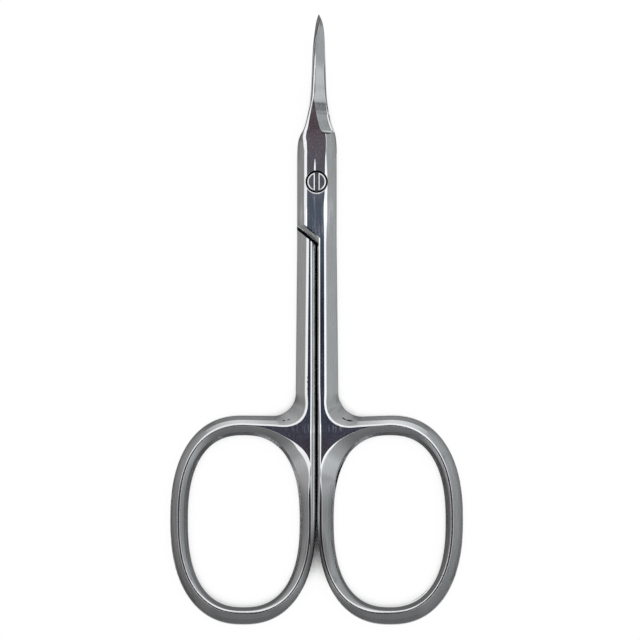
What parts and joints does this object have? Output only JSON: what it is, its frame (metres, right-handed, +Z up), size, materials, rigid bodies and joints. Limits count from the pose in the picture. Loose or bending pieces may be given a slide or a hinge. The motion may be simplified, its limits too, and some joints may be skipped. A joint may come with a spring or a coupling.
{
  "type": "nail scissors",
  "caption": "Slim nail scissors with fine curved blades, long straight shanks and oval finger loops, turning on a slotted screw.",
  "frame": {"origin": "bottom centre of the closed scissors' box, on the surface that they lie on", "axes": "+Y along the scissors from the finger loops to the tips, +Z up from the surface, towards the screw's head"},
  "size_m": [0.0434, 0.09, 0.0038],
  "materials": {
    "front_steel": "mirror-polished stainless steel, with faint grinding lines along the flats",
    "back_steel": "mirror-polished stainless steel, with faint grinding lines along the flats",
    "screw_steel": "turned stainless steel, a little duller than the halves"
  },
  "bodies": {
    "back_body": {"back_half": "back_steel", "pivot_screw": "screw_steel"},
    "front_body": {"front_half": "front_steel"}
  },
  "joints": [
    {"name": "blades_open", "type": "hinge", "parent": "back_body", "child": "front_body", "pos_m": [0, 0.02042, 0.0018], "axis": [0, 0, 1], "range_deg": [0, 60]}
  ]
}
